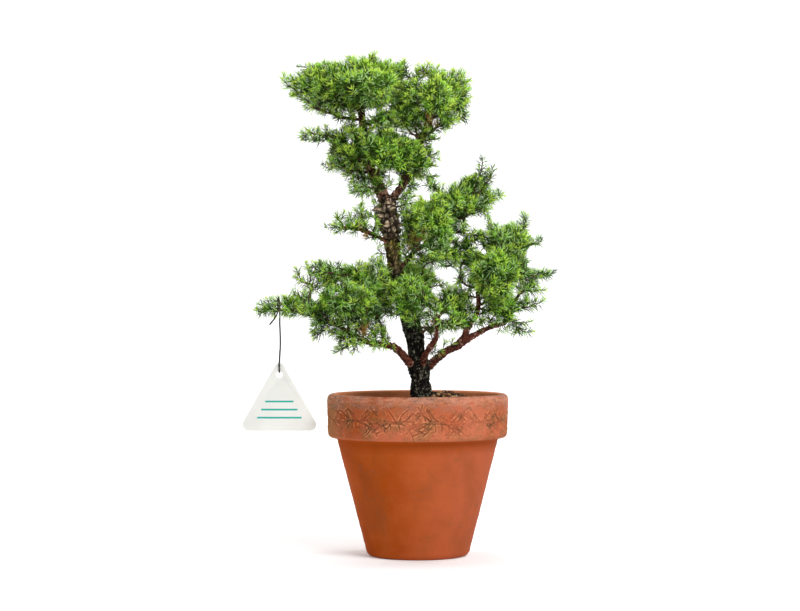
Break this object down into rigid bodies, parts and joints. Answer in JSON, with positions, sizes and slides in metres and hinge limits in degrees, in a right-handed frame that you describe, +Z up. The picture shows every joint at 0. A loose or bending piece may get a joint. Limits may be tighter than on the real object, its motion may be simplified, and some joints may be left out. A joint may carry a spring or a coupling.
{
  "type": "bonsai juniper in pot",
  "caption": "Needle juniper grown as a small upright tree, with layered pads of foliage on bare boughs, in a turned terracotta pot, and a plain label hung from one bough.",
  "frame": {"origin": "centre of the pot's flat underside", "axes": "+Z up along the pot's axis, -Y is the front, +X to the right seen from the front"},
  "size_m": [0.3074, 0.18, 0.4991],
  "materials": {
    "terracotta": "matte",
    "soil": "matte",
    "bark": "matte",
    "red_bark": "matte",
    "needles": "matte",
    "wire": "satin",
    "label_plastic": "satin"
  },
  "bodies": {
    "plant": {"pot": "terracotta", "soil": "soil", "label_wire": "wire", "trunk": "bark", "leader_left": "bark", "leader_right": "bark", "bough_left": "red_bark", "bough_right": "red_bark", "bough_right_upper": "red_bark", "bough_front": "red_bark", "bough_left_upper": "red_bark", "bough_middle_left": "red_bark", "bough_middle_right": "red_bark", "bough_back": "red_bark", "crown_left": "needles", "crown_top": "needles", "crown_front": "needles", "crown_back": "needles", "crown_right": "needles", "crown_middle": "needles", "crown_right_back": "needles", "crown_right_front": "needles", "neck_left": "needles", "neck_right": "needles", "neck_front": "needles", "neck_back": "needles", "middle_left": "needles", "upper_right_inner": "needles", "upper_right_outer": "needles", "upper_right_back": "needles", "upper_right_front": "needles", "right_upper": "needles", "right_outer": "needles", "right_lower": "needles", "right_inner": "needles", "right_back": "needles", "right_front": "needles", "centre": "needles", "centre_front": "needles", "centre_back": "needles", "left_inner": "needles", "left_upper": "needles", "left_outer": "needles", "left_low": "needles", "left_front": "needles", "left_back": "needles", "right_low": "needles"},
    "label": {"label": "label_plastic"}
  },
  "joints": [
    {"name": "label_swing", "type": "hinge", "parent": "plant", "child": "label", "pos_m": [-0.1369, -0.009, 0.18145], "axis": [0, 1, 0], "range_deg": [-10, 40]}
  ]
}
